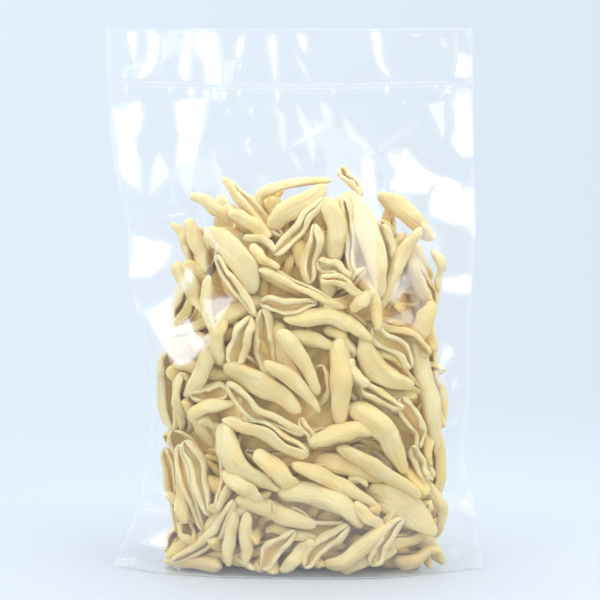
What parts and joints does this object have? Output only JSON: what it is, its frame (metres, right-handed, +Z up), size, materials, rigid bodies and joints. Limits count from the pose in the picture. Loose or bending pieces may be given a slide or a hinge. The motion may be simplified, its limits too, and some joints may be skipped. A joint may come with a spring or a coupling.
{
  "type": "sealed pouch of strascinati pasta",
  "caption": "Clear heat-sealed film pouch standing upright on its flattened bottom, filled with long hand-dragged pasta shells, with a flat wavy header above its weld.",
  "frame": {"origin": "middle of the footprint, on the surface that the pouch stands on", "axes": "+Z up the pouch to its header, -Y towards its front, +X to the right seen from the front; Y runs through its depth"},
  "size_m": [0.2, 0.0704, 0.292],
  "materials": {
    "pasta": "dry semolina dough, matt and slightly floury, pale straw yellow",
    "film": "clear glossy packaging film, creased, with welded seams"
  },
  "bodies": {
    "root": {"pouch": "pasta"}
  },
  "joints": []
}
